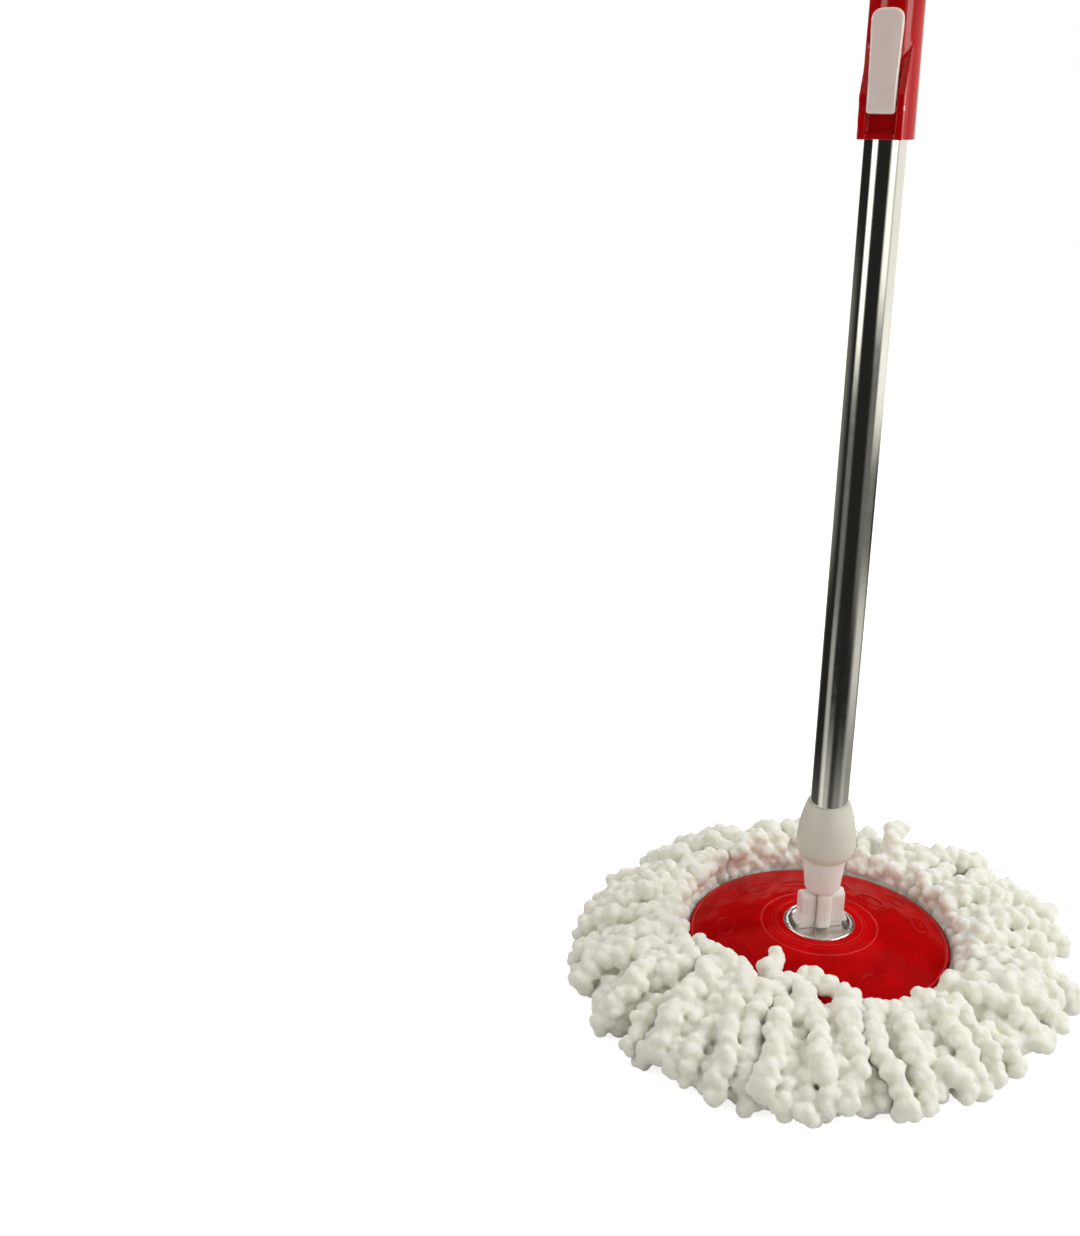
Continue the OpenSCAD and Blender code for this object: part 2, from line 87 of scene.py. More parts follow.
def make_camera():
    """A camera at the photograph's viewing angle."""
    data = bpy.data.cameras.new("camera")
    data.sensor_width = SENSOR_MM
    data.lens = FOCAL_PX * SENSOR_MM / PHOTO_H
    camera = bpy.data.objects.new("camera", data)
    bpy.context.collection.objects.link(camera)
    camera.matrix_world = (
        Matrix.Translation(CAMERA_AT)
        @ Matrix.Rotation(CAMERA_YAW, 4, "Z")
        @ Matrix.Rotation(math.pi / 2 - CAMERA_PITCH, 4, "X")
        @ Matrix.Rotation(CAMERA_ROLL, 4, "Z")
    )
    bpy.context.scene.camera = camera


# Materials

# Grain and depth of the skin of moulded plastic, and the size of its patches of gloss
SKIN_GRAIN = 1.6
SKIN_DEPTH = 0.004
GLOSS_PATCH = 9
# The values between which most of a noise lies
NOISE_LOW = 0.3
NOISE_HIGH = 0.7
# Places of the colours among a Mix node's sockets
MIX_FIRST = 6
MIX_SECOND = 7
MIX_RESULT = 2


def new_material(name):
    """A material with its node tree and its main shader."""
    material = bpy.data.materials.new(name)
    material.use_nodes = True
    return material, material.node_tree, material.node_tree.nodes["Principled BSDF"]


def fill(node, **sockets):
    """Sets the values of unlinked sockets, whose names have _ for a space."""
    for key, value in sockets.items():
        node.inputs[key.replace("_", " ")].default_value = value


def add_node(tree, kind, settings=None, **sockets):
    """A node with its settings and the values of its unlinked sockets."""
    made = tree.nodes.new("ShaderNode" + kind)
    for key, value in (settings or {}).items():
        setattr(made, key, value)
    fill(made, **sockets)
    return made


def math_node(tree, operation, *values):
    """The result of a calculation whose values are sockets or plain numbers."""
    made = add_node(tree, "Math", {"operation": operation})
    for socket, value in zip(made.inputs, values):
        if isinstance(value, (int, float)):
            socket.default_value = value
        else:
            tree.links.new(value, socket)
    return made.outputs[0]


def ease(tree, value, start, end):
    """A soft step of a value, from 0 at start to 1 at end."""
    step = add_node(tree, "MapRange", {"interpolation_type": "SMOOTHSTEP"}, From_Min=start, From_Max=end)
    tree.links.new(value, step.inputs["Value"])
    return step.outputs["Result"]


def noise_of(tree, size, detail=3.0, stretch=(1, 1, 1)):
    """A noise whose grains are about size millimetres, in the object's own coordinates."""
    place = add_node(tree, "TexCoord")
    scaled = add_node(tree, "Mapping", Scale=stretch)
    tree.links.new(place.outputs["Object"], scaled.inputs["Vector"])
    grain = add_node(tree, "TexNoise", Scale=1 / (size * MM), Detail=detail)
    tree.links.new(scaled.outputs["Vector"], grain.inputs["Vector"])
    return grain.outputs["Fac"]


def mix_color(tree, factor, first, second):
    """A blend of two colours, the first of which may be a socket."""
    mix = add_node(tree, "Mix", {"data_type": "RGBA"})
    if isinstance(first, tuple):
        mix.inputs[MIX_FIRST].default_value = (*first, 1)
    else:
        tree.links.new(first, mix.inputs[MIX_FIRST])
    mix.inputs[MIX_SECOND].default_value = (*second, 1)
    tree.links.new(factor, mix.inputs["Factor"])
    return mix.outputs[MIX_RESULT]


def vary_color(tree, shader, factor, first, second):
    """Blends the surface between two colours."""
    tree.links.new(mix_color(tree, factor, first, second), shader.inputs["Base Color"])


def vary_roughness(tree, shader, factor, low, high):
    """Spreads a noise between two values of roughness."""
    spread = add_node(
        tree, "MapRange", From_Min=NOISE_LOW, From_Max=NOISE_HIGH, To_Min=low, To_Max=high
    )
    tree.links.new(factor, spread.inputs["Value"])
    tree.links.new(spread.outputs["Result"], shader.inputs["Roughness"])


def add_bump(tree, shader, factor, depth, strength=1.0):
    """Relief of a depth in millimetres."""
    bump = add_node(tree, "Bump", Strength=strength, Distance=depth * MM)
    tree.links.new(factor, bump.inputs["Height"])
    tree.links.new(bump.outputs["Normal"], shader.inputs["Normal"])


def mould_skin(tree, shader, roughness):
    """The uneven gloss and faint texture of moulded plastic."""
    vary_roughness(tree, shader, noise_of(tree, GLOSS_PATCH), *roughness)
    add_bump(tree, shader, noise_of(tree, SKIN_GRAIN, 1), SKIN_DEPTH)


def plastic(name, color, shade, roughness, milk=0.0, milk_depth=2.0, shine=0.5):
    """Moulded plastic with a cloudy colour, which lets some light in where it is milky."""
    material, tree, shader = new_material(name)
    vary_color(tree, shader, noise_of(tree, 14), color, shade)
    mould_skin(tree, shader, roughness)
    fill(
        shader, Subsurface_Weight=milk, Subsurface_Radius=(1.0, 0.85, 0.7),
        Subsurface_Scale=milk_depth * MM, Specular_IOR_Level=shine,
    )
    return material


def ring_share(tree, bands):
    """A sum of bands of the radius round the pole, given as middle, half width and strength."""
    place = add_node(tree, "TexCoord")
    flat = add_node(tree, "VectorMath", {"operation": "MULTIPLY"})
    flat.inputs[1].default_value = (1, 1, 0)
    tree.links.new(place.outputs["Object"], flat.inputs[0])
    length = add_node(tree, "VectorMath", {"operation": "LENGTH"})
    tree.links.new(flat.outputs["Vector"], length.inputs[0])
    total = 0.0
    for middle, half, strength in bands:
        away = math_node(tree, "SUBTRACT", length.outputs["Value"], middle * MM)
        share = ease(tree, math_node(tree, "ABSOLUTE", away), half * MM, 0.0)
        total = math_node(tree, "MULTIPLY_ADD", share, strength, total)
    return total


# Bands of the plate's colour: middle, half width and strength
# Painted light: a brighter red round the hub, where light falls on the plate
HUB_PAINTED_LIGHT = [(20, 32, 0.6)]
# Painted highlights: paler red along the raised rings and the rim's edge, where they catch light
RIDGE_PAINTED_HIGHLIGHTS = [(35.3, 0.8, 0.45), (26.4, 0.6, 0.25), (28.6, 0.5, 0.15), (77.6, 0.9, 0.5)]
# Painted shade: a near-black red at the rim, where shade falls between the plate and the strings
RIM_PAINTED_SHADE = [(80.2, 1.8, 0.95)]


def plate_plastic(name):
    """The plate's red, brighter round the hub by painted light, with painted highlights on its ridges
    and painted shade at the rim.
    """
    material, tree, shader = new_material(name)
    mould_skin(tree, shader, (0.06, 0.13))
    fill(shader, Specular_IOR_Level=0.055, Specular_Tint=(1, 0.35, 0.35, 1))
    shade = math_node(tree, "MULTIPLY_ADD", noise_of(tree, 15, 4), 1.6, -0.5)
    # Painted light: the red is made brighter round the hub, on top of its random cloudiness
    shade = math_node(tree, "ADD", shade, ring_share(tree, HUB_PAINTED_LIGHT))
    cloud_and_hub_light = mix_color(tree, shade, (0.355, 0.0006, 0.0012), (0.60, 0.0012, 0.002))
    # Painted highlights: paler red on the ridges, broken up by patches
    patches = math_node(tree, "MULTIPLY", noise_of(tree, 12, 2), 1.6)
    highlight_share = math_node(tree, "MULTIPLY", ring_share(tree, RIDGE_PAINTED_HIGHLIGHTS), patches)
    highlighted = mix_color(tree, highlight_share, cloud_and_hub_light, (0.80, 0.12, 0.11))
    # Painted shade: the rim is darkened to near-black red
    vary_color(tree, shader, ring_share(tree, RIM_PAINTED_SHADE), highlighted, (0.07, 0.0, 0.001))
    return material


def bright_metal(name, color, roughness, streak, marks=0.002):
    """Polished steel, with fine marks along the directions that aren't stretched."""
    material, tree, shader = new_material(name)
    fill(shader, Metallic=1.0)
    vary_color(tree, shader, noise_of(tree, 30), color, [0.93 * c for c in color])
    vary_roughness(tree, shader, noise_of(tree, 6, 4), *roughness)
    add_bump(tree, shader, noise_of(tree, 0.8, 2, streak), marks)
    return material


def chenille(name):
    """Fluffy white microfibre: soft light inside, a sheen on its pile and creamier patches."""
    material, tree, shader = new_material(name)
    vary_color(tree, shader, noise_of(tree, 9), (0.885, 0.88, 0.80), (0.86, 0.855, 0.765))
    vary_roughness(tree, shader, noise_of(tree, 2), 0.75, 0.95)
    add_bump(tree, shader, noise_of(tree, 1.6, 6), 0.5, 0.8)
    fill(
        shader, Specular_IOR_Level=0.15, Sheen_Weight=0.35, Sheen_Roughness=0.5,
        Subsurface_Weight=1.0, Subsurface_Radius=(1.0, 0.95, 0.85), Subsurface_Scale=5.0 * MM,
    )
    return material


RED = plastic("red_gloss", (0.55, 0.0012, 0.002), (0.46, 0.001, 0.0015), (0.08, 0.15), shine=0.4)
PLATE_RED = plate_plastic("plate_red")
MILKY = plastic("milky_plastic", (0.94, 0.90, 0.86), (0.90, 0.85, 0.81), (0.25, 0.4), 0.8, 3.5)
YOKE_MILKY = plastic("yoke_plastic", (0.95, 0.89, 0.85), (0.92, 0.85, 0.80), (0.22, 0.34), 0.3, 1.2)
IVORY = plastic("ivory_plastic", (0.75, 0.725, 0.645), (0.72, 0.695, 0.615), (0.28, 0.4), 0.4)
PEARL = plastic("pearl_plastic", (0.92, 0.80, 0.76), (0.88, 0.76, 0.72), (0.18, 0.26), 0.4, shine=1.0)
DRAWN_STEEL = bright_metal("drawn_steel", (0.94, 0.93, 0.89), (0.06, 0.11), (40, 40, 1))
DISH_STEEL = bright_metal("dish_steel", (0.80, 0.765, 0.745), (0.14, 0.22), (1, 1, 30), 0.0005)
TURNED_STEEL = bright_metal("turned_steel", (0.90, 0.90, 0.89), (0.06, 0.14), (1, 1, 30))
PILE = chenille("chenille_pile")


def dress(obj, material):
    """Gives an object its one material."""
    obj.data.materials.clear()
    obj.data.materials.append(material)


def dress_nodes():
    """Gives every solid of the frame its material."""
    finish = {
        "mop_disc": RED, "hand_grip": RED, "clamp_body": RED,
        "hub_yoke": YOKE_MILKY, "neck_knuckle": MILKY,
        "socket_collar": IVORY, "tube_joiner": IVORY, "hang_cap": IVORY,
        "lock_lever": PEARL, "lever_pin": PEARL, "brake_pad": PEARL,
        "lower_tube": DRAWN_STEEL, "upper_tube": DRAWN_STEEL, "top_tube": DRAWN_STEEL,
        "hub_dish": TURNED_STEEL, "hub_screws": TURNED_STEEL, "hinge_pin": TURNED_STEEL,
        "tube_rivet": TURNED_STEEL, "anchor_pin": TURNED_STEEL, "drive_rod": TURNED_STEEL,
    }
    for name, obj in nodes.items():
        dress(obj, PILE if name.startswith("string_bundle") else finish.get(name, IVORY))


# Plate and dish

# Oval marks pressed into the plate: radius and direction of the middle
DIMPLES = [
    (68, 227), (58, 198), (58, 170), (57, 114), (52, 88), (54, 60),
    (50, 30), (66, 24), (64, -3), (62, -40), (60, 255), (58, -75),
]
DIMPLE_HALF_LENGTH = 9
DIMPLE_HALF_WIDTH = 4.5
DIMPLE_EDGE = 0.4
DIMPLE_DEPTH = 0.3
# How far from its middle an oval is worked out, along and out
DIMPLE_REACH = (14, 9)
# Rings of the plate: radius, half width, height and number of dashes, 0 for a whole ring
RINGS = [(26.4, 0.4, 0.3, 18), (35.3, 0.45, 0.45, 0), (77.3, 0.5, -0.25, 0)]
PLATE_TURNS = 432
PLATE_STEP = 0.45
DISH_TURNS = 144


def mesh_object(name, points, faces, body):
    """A smooth object from points in millimetres, riding on a body."""
    mesh = bpy.data.meshes.new(name)
    mesh.from_pydata([tuple(p) for p in np.asarray(points) * MM], [], faces)
    mesh.validate()
    mesh.polygons.foreach_set("use_smooth", [True] * len(mesh.polygons))
    obj = bpy.data.objects.new(name, mesh)
    bpy.context.collection.objects.link(obj)
    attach(obj, body)
    return obj


def revolve(name, profile, turns, relief, body):
    """A closed ring swept from (r, z) corners, raised by relief(r, turn) where a corner asks for it."""
    profile = np.array(profile, float)
    count = len(profile)
    angles = np.arange(turns) * 360 / turns
    points = []
    for turn in angles:
        a = math.radians(turn)
        for r, z, share in profile:
            lift = share * relief(r, turn) if share else 0
            points.append((r * math.cos(a), r * math.sin(a), z + lift))
    faces = []
    for i in range(turns):
        for j in range(count):
            here, there = i * count, (i + 1) % turns * count
            k = (j + 1) % count
            faces.append((here + j, here + k, there + k, there + j))
    return mesh_object(name, points, faces, body)


def plate_relief(r, turn):
    """Raised rings near the dish, a groove near the rim, and sunk ovals with a raised edge."""
    lift = 0.0
    for ring_r, half, height, dashes in RINGS:
        dash = 1.0
        if dashes:
            dash = float(np.clip(4 * abs(math.sin(math.radians(dashes / 2 * turn))), 0, 1))
        lift += height * dash * math.exp(-(((r - ring_r) / half) ** 2))
    for mid_r, mid_turn in DIMPLES:
        a = math.radians((turn - mid_turn + 180) % 360 - 180)
        along, out = mid_r * a, r - mid_r
        if abs(along) > DIMPLE_REACH[0] or abs(out) > DIMPLE_REACH[1]:
            continue
        away = math.hypot(along / DIMPLE_HALF_LENGTH, out / DIMPLE_HALF_WIDTH)
        edge = DIMPLE_EDGE * math.exp(-(((away - 1) / 0.14) ** 2))
        lift += edge - DIMPLE_DEPTH / (1 + math.exp((away - 0.95) / 0.05))
    return lift


def make_plate():
    """The domed plate, with its relief, rounded rim and snap wall."""
    tops = np.arange(DISH_R + 0.8, DISC_R - 0.9, PLATE_STEP)
    top = [(r, float(disc_top(r)), 1) for r in tops]
    skirt_z = RIM_Z - SKIRT_H
    rim = [
        (DISC_R - 0.7, RIM_Z + 0.1, 0), (DISC_R - 0.25, RIM_Z - 0.15, 0), (DISC_R, RIM_Z - 0.6, 0),
        (DISC_R, skirt_z + 0.4, 0), (DISC_R - 0.3, skirt_z, 0), (DISC_R - 2, skirt_z, 0),
    ]
    unders = np.linspace(DISC_R - 2, SNAP_R, 9)
    under = [(r, float(disc_top(r)) - PLATE_T, 0) for r in unders]
    snap_top = RING_Z - 0.3
    snap_low = RING_Z - 1.4
    wall_r = SNAP_R - 2.6
    recess_r = DISH_R - 1.2
    hub_r = recess_r + 2.4
    hub_under = HUB_Z - DISH_DEPTH - 3.6
    hub_floor = hub_under + 2.8
    inner = [
        (SNAP_R, snap_top, 0), (SNAP_R + 1.1, snap_top, 0), (SNAP_R, snap_low, 0), (wall_r, snap_low, 0),
        (wall_r, float(disc_top(wall_r)) - PLATE_T, 0), (36, float(disc_top(36)) - PLATE_T, 0),
        (hub_r, float(disc_top(hub_r)) - PLATE_T, 0), (hub_r, hub_under, 0),
        (1, hub_under, 0), (1, hub_floor, 0), (recess_r, hub_floor, 0), (recess_r, HUB_Z, 0),
    ]
    plate = revolve("plate", top + rim + under + inner, PLATE_TURNS, plate_relief, "head")
    plate.data.set_sharp_from_angle(angle=math.radians(40))
    dress(plate, PLATE_RED)
    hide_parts("mop_disc")


def make_dish():
    """The pressed dish: a flat floor, a rounded wall and a rolled lip."""
    floor_z = HUB_Z - DISH_DEPTH
    under_z = floor_z - 0.7
    lip_r = 1.0
    lip_mid = DISH_R - lip_r
    lip_z = HUB_Z + 0.9 - lip_r
    floor = [(r, floor_z, 0) for r in (1, 6, 12, 16)]
    wall = [(17.2, floor_z + 0.1, 0), (18.2, floor_z + 0.5, 0), (19.1, floor_z + 1.3, 0)]
    lip = []
    for step in range(11):
        a = math.radians(180 - 18 * step)
        lip.append((lip_mid + lip_r * math.cos(a), lip_z + lip_r * math.sin(a), 0))
    under = [(DISH_R, HUB_Z + 0.1, 0), (20.4, HUB_Z + 0.1, 0), (17.9, under_z, 0), (1, under_z, 0)]
    dish = revolve("dish", floor + wall + lip + under, DISH_TURNS, None, "head")
    dish.data.set_sharp_from_angle(angle=math.radians(50))
    dress(dish, DISH_STEEL)
    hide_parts("hub_dish")


def remesh_and_relax(obj, voxel, rounds):
    """Modifiers that give an object a fine even skin and round it off."""
    skin = obj.modifiers.new("skin", "REMESH")
    skin.mode = "VOXEL"
    skin.voxel_size = voxel * MM
    skin.use_smooth_shade = True
    relax = obj.modifiers.new("relax", "SMOOTH")
    relax.factor = 0.5
    relax.iterations = rounds


# Strings

VOXEL = 1.0
# Spacing of a strand's balls in ball sizes, the lobes on each, and the length over which a strand swells
BALL_STEP = 1.25
LOBES = 5
ROOT_LENGTH = 14.0
# Radius of a ball's lump and of the core between the balls, as shares of the strand's own sizes
BALL_SHARE = 0.86
CORE_SHARE = 0.72
# Free space round the plate, and the smallest lump that is kept
CLEARANCE = 0.6
LEAST_LUMP = 1.8
BUNDLE_SPAN = 360 / BUNDLES
BUNDLE_START = -2.5
# Settling: rounds, pull to the first place, push between strands, and passes that keep the lengths
SETTLE_ROUNDS = 90
HOMING = 0.1
PUSH = 0.35
LENGTH_PASSES = 3
# Kinds of strand: girth, and how much of it pushes others away
FLOOR_KIND = (5.4, 0.75)
MIDDLE_KIND = (6.2, 0.65)
LOW_KIND = (6.2, 0.6)
INNER_KIND = (6.4, 0.9)
TOP_KIND = (6.5, 0.96)
FLOP_KIND = (6.3, 0.75)
# Seed of the draws and of the pile's noise, which starts from the clock where it has none
SEED = 7
rng = random.Random(SEED)
noise.seed_set(SEED)

# Shape of the top strands by direction: height and radius of the crest, radius and height of the tip,
# and how much of the height is left at the shoulder
CREST_KEYS = {
    -165: (32, 99, 153, 7, 0.70),
    -150: (32, 99, 155, 7, 0.72),
    -128: (31, 101, 152, 7, 0.76),
    -111: (30, 103, 155, 7, 0.78),
    -90: (28, 104, 147, 7, 0.78),
    -66: (26, 105, 144, 7, 0.76),
    -36: (25, 106, 144, 8, 0.68),
    -10: (27, 106, 147, 13, 0.62),
    20: (29, 104, 151, 17, 0.62),
    45: (30, 101, 142, 9, 0.5),
    75: (33, 97, 140, 7, 0.42),
    110: (32, 96, 138, 7, 0.42),
    140: (29, 97, 138, 7, 0.48),
    165: (30, 99, 144, 7, 0.6),
}
# Strands that have flopped over the plate or stick up, from their free end back to where they rise
FLOPS = [
    [
        (-86, -18, 32), (-79, -35, 34), (-71, -49, 34.5), (-66, -61, 35),
        (-64, -75, 34), (-73, -82, 26), (-67, -65, 15),
    ],
    [(-41, -45, 40), (-48, -51, 38), (-48, -63, 36), (-51, -76, 34), (-60, -86, 28), (-57, -73, 16)],
    [
        (-31, -59, 35), (-23, -65, 35), (-17, -72, 34.5), (-13, -81, 34),
        (-13, -92, 33), (-24, -101, 25), (-24, -86, 15),
    ],
    [(-39, -65, 34.5), (-34, -76, 35), (-35, -88, 34), (-42, -98, 26), (-40, -84, 15)],
    [(-65, -42, 33), (-73, -55, 35), (-80, -65, 32), (-82, -58, 23), (-76, -52, 14)],
    [(86, 84, 46), (77, 78, 45), (70, 70, 40), (72, 66, 27), (66, 62, 16)],
    [(-30, 76, 37), (-23, 87, 40), (-18, 98, 33), (-16, 92, 23), (-15, 84, 15)],
    [(-60, 56, 35), (-66, 66, 37), (-74, 72, 31), (-70, 66, 21), (-64, 62, 15)],
]


def keyed(turn):
    """The crest and tip values in a direction, blended between the keys."""
    keys = sorted(CREST_KEYS)
    angles = keys + [keys[0] + 360]
    place = (turn - keys[0]) % 360 + keys[0]
    values = np.array([CREST_KEYS[k] for k in keys] + [CREST_KEYS[keys[0]]], float)
    return [np.interp(place, angles, values[:, i]) for i in range(values.shape[1])]


def polar(r, turn, z):
    """A point from its radius, direction and height."""
    a = math.radians(turn)
    return (r * math.cos(a), r * math.sin(a), z)


def spline(knots):
    """Points at steps of a millimetre along a smooth curve through the knots."""
    k = np.array(knots, float)
    k = np.vstack([2 * k[0] - k[1], k, 2 * k[-1] - k[-2]])
    t = np.linspace(0, 1, 12, endpoint=False)[:, None]
    parts = []
    for a, b, c, d in zip(k, k[1:], k[2:], k[3:]):
        parts.append(
            0.5 * (2 * b + (c - a) * t + (2 * a - 5 * b + 4 * c - d) * t**2
                   + (3 * b - a - 3 * c + d) * t**3)
        )
    line = np.vstack([*parts, k[-2:-1]])
    run = np.concatenate([[0], np.cumsum(np.linalg.norm(np.diff(line, axis=0), axis=1))])
    at = np.arange(0, run[-1], 1.0)
    return np.column_stack([np.interp(at, run, line[:, i]) for i in range(3)])


def room(x, y, z):
    """The largest lump that fits at a point, clear of the plate and the ring that holds the strings."""
    r = math.hypot(x, y)
    if r > DISC_R:
        below, above = RIM_Z - SKIRT_H - z, z - RIM_Z
        return math.hypot(r - DISC_R, max(0, below, above)) - CLEARANCE
    if z > disc_top(r):
        return (z - float(disc_top(r))) * 0.97 - CLEARANCE
    ceiling = BAND_TOP_Z if r < RING_OUT_R + 0.5 else RIM_Z - SKIRT_H - 0.4
    return ceiling - z


def keep_clear(at, size, loose):
    """Moves balls off the floor and out of the plate, and off its top unless they are loose."""
    r = np.hypot(at[:, 0], at[:, 1])
    out = at[:, :2] / r[:, None]
    need = size + CLEARANCE
    gap_r = r - DISC_R
    gap_z = at[:, 2] - np.clip(at[:, 2], RIM_Z - SKIRT_H, RIM_Z)
    far = np.maximum(np.hypot(gap_r, gap_z), 1e-6)
    lack = np.where(gap_r > 0, np.maximum(need - far, 0), 0) / far
    at[:, :2] += out * (lack * gap_r)[:, None]
    at[:, 2] += lack * gap_z
    inner = DISC_R + 1.2 * size
    astray = ~loose & (at[:, 2] > RIM_Z - 6) & (r < inner)
    at[:, :2] = np.where(astray[:, None], out * inner[:, None], at[:, :2])
    top = disc_top(r)
    over = (gap_r <= 0) & (at[:, 2] > top - 4) & loose
    at[:, 2] = np.where(over, np.maximum(at[:, 2], top + need), at[:, 2])
    at[:, 2] = np.maximum(at[:, 2], 0.95 * size)


class Strand:
    """A chain of balls along a curve, and how firmly it pushes others away."""

    def __init__(self, bundle, knots, girth, firmness, loose=False):
        self.bundle = bundle
        self.loose = loose
        self.girth = girth
        self.firmness = firmness
        line = spline(knots)
        places = [0.0]
        sizes = []
        while places[-1] < len(line) - 0.4 * girth:
            swell = min(1.0, 0.55 + 0.45 * places[-1] / ROOT_LENGTH)
            sizes.append(girth * swell * rng.uniform(0.88, 1.12))
            places.append(places[-1] + BALL_STEP * sizes[-1] * rng.uniform(0.9, 1.1))
        reach = (len(line) - 1) / places[len(sizes) - 1]
        self.at = line[[round(q * reach) for q in places[: len(sizes)]]]
        self.size = np.array(sizes)


def settle(strands):
    """Lets the strands push each other apart, as they do when they lie in a heap."""
    at = np.vstack([s.at for s in strands])
    size = np.concatenate([s.size for s in strands])
    owner = np.concatenate([np.full(len(s.size), i) for i, s in enumerate(strands)])
    rank = np.concatenate([np.arange(len(s.size)) for s in strands])
    loose = np.concatenate([np.full(len(s.size), s.loose) for s in strands])
    free = (rank > 1).astype(float)[:, None]
    wish = at.copy()
    link = np.nonzero(owner[1:] == owner[:-1])[0]
    rest = np.linalg.norm(at[link + 1] - at[link], axis=1)
    girth = np.concatenate([s.firmness * s.size for s in strands])
    reach = girth[:, None] + girth[None, :]
    reach[owner[:, None] == owner[None, :]] = 0
    for _ in range(SETTLE_ROUNDS):
        at += HOMING * free * (wish - at)
        flat = np.sum(at**2, axis=1)
        far2 = flat[:, None] + flat[None, :] - 2 * at @ at.T
        i, j = np.nonzero(np.triu(far2 < reach**2, 1))
        apart = at[j] - at[i]
        far = np.maximum(np.linalg.norm(apart, axis=1), 0.01)
        push = (PUSH * (reach[i, j] - far) / far)[:, None] * apart
        np.add.at(at, i, -push * free[i])
        np.add.at(at, j, push * free[j])
        for _ in range(LENGTH_PASSES):
            step = at[link + 1] - at[link]
            far = np.linalg.norm(step, axis=1)
            pull = (0.5 * (far - rest) / far)[:, None] * step
            np.add.at(at, link, pull * free[link])
            np.add.at(at, link + 1, -pull * free[link + 1])
        moved = at.copy()
        keep_clear(moved, size, loose)
        at = np.where(free > 0, moved, at)
    start = 0
    for s in strands:
        s.at = at[start : start + len(s.size)]
        start += len(s.size)


def strand_lumps(strand):
    """Lumps (x, y, z, radius) of a strand: its balls, lobes on their sides and a core between them."""
    line = spline(strand.at)
    ahead = np.gradient(strand.at, axis=0)
    lumps = []

    def put(point, radius):
        x, y, z = point
        radius = min(radius, room(x, y, z))
        if radius > LEAST_LUMP:
            lumps.append((x, y, max(z, 0.85 * radius), radius))

    for middle, size, tangent in zip(strand.at, strand.size, ahead):
        put(middle, BALL_SHARE * size)
        tangent = tangent / np.linalg.norm(tangent)
        across = np.cross(tangent, (0.31, 0.17, 0.94))
        across /= np.linalg.norm(across)
        upward = np.cross(across, tangent)
        first = rng.uniform(0, 2 * math.pi)
        for lobe in range(LOBES):
            turn = first + (lobe + rng.uniform(-0.3, 0.3)) * 2 * math.pi / LOBES
            side = math.cos(turn) * across + math.sin(turn) * upward
            along = rng.uniform(-0.5, 0.5) * size
            lobe_at = middle + side * size * rng.uniform(0.44, 0.6) + tangent * along
            put(lobe_at, size * rng.uniform(0.58, 0.7))
    for point in line[::3]:
        put(point, CORE_SHARE * strand.girth)
    return lumps


def floor_strand(turn):
    """Knots of a strand of the layer that lies on the floor."""
    sway = rng.uniform(-3, 3)
    reach = keyed(turn)[2] - rng.uniform(12, 24)
    return [
        polar(64, turn, 11), polar(69, turn, 6.5), polar(85, turn, 5.5),
        polar(112, turn + 0.5 * sway, 5.5), polar(reach, turn + sway, 5.5),
    ]


def middle_strand(turn):
    """Knots of a strand between the floor layer and the arched ones."""
    sway = rng.uniform(-4, 4)
    lift = rng.uniform(12.5, 15.5)
    reach = keyed(turn)[2] - rng.uniform(5, 16)
    return [
        polar(67, turn, 10.8), polar(78, turn, 11.5), polar(88, turn, 13),
        polar(104, turn + 0.3 * sway, lift), polar(128, turn + 0.7 * sway, lift),
        polar(reach, turn + sway, 7),
    ]


def top_strand(turn, share=1.0, short=0.0):
    """Knots of a strand that rises past the plate's edge, arches over and hangs to the floor."""
    crest, crest_r, tip_r, tip_z, fullness = keyed(turn)
    crest = crest * share * rng.uniform(0.9, 1.12)
    crest_r += rng.uniform(-6, 6)
    tip_r += rng.uniform(-8, 4) - short
    tip_z += rng.uniform(-1, 4)
    sway = rng.uniform(-7, 7)
    wave = [rng.uniform(-3, 3) for _ in range(3)]
    shoulder_r = 0.4 * crest_r + 0.6 * tip_r
    drop = crest - tip_z
    return [
        polar(67, turn, 10.6), polar(77, turn, 11.6), polar(86, turn, 17),
        polar(crest_r - 9, turn + 0.2 * sway + wave[0], tip_z + 0.9 * drop),
        polar(crest_r + 7, turn + 0.45 * sway + wave[1], tip_z + drop),
        polar(shoulder_r + 4, turn + 0.7 * sway + wave[2], tip_z + fullness * drop),
        polar(tip_r - 4, turn + 0.95 * sway, tip_z + 0.5 * fullness * drop),
        polar(tip_r, turn + sway, tip_z),
    ]


def bundle_of(point):
    """The number of the bundle in whose sector a point lies."""
    turn = math.degrees(math.atan2(point[1], point[0])) - BUNDLE_START
    return int(turn % 360 // BUNDLE_SPAN)


def lay_strands():
    """The strands of all bundles, settled against each other."""
    strands = []
    for i in range(BUNDLES):
        for j in range(3):
            turn = (3 * i + j) * BUNDLE_SPAN / 3
            strands.append(Strand(i, floor_strand(turn), *FLOOR_KIND))
        for j in range(4):
            turn = (4 * i + j) * BUNDLE_SPAN / 4
            knots = top_strand(turn)
            girth, firmness = TOP_KIND
            strands.append(Strand(i, knots, girth * rng.uniform(0.92, 1.12), firmness))
            strands.append(Strand(i, top_strand(turn + 3.75, 0.78, 5.0), *INNER_KIND))
            strands.append(Strand(i, middle_strand(turn + 1.5), *MIDDLE_KIND))
            strands.append(Strand(i, top_strand(turn + 1, 0.6, 3.0), *LOW_KIND))
    for flop in FLOPS:
        root = polar(68, math.degrees(math.atan2(flop[-1][1], flop[-1][0])), 10.8)
        strands.append(Strand(bundle_of(root), [root, *reversed(flop)], *FLOP_KIND, loose=True))
    settle(strands)
    return strands


def ball_template():
    """Points and triangles of a ball of radius 1."""
    shape = bmesh.new()
    bmesh.ops.create_icosphere(shape, subdivisions=2, radius=1.0)
    points = np.array([v.co for v in shape.verts])
    faces = np.array([[v.index for v in f.verts] for f in shape.faces])
    shape.free()
    return points, faces


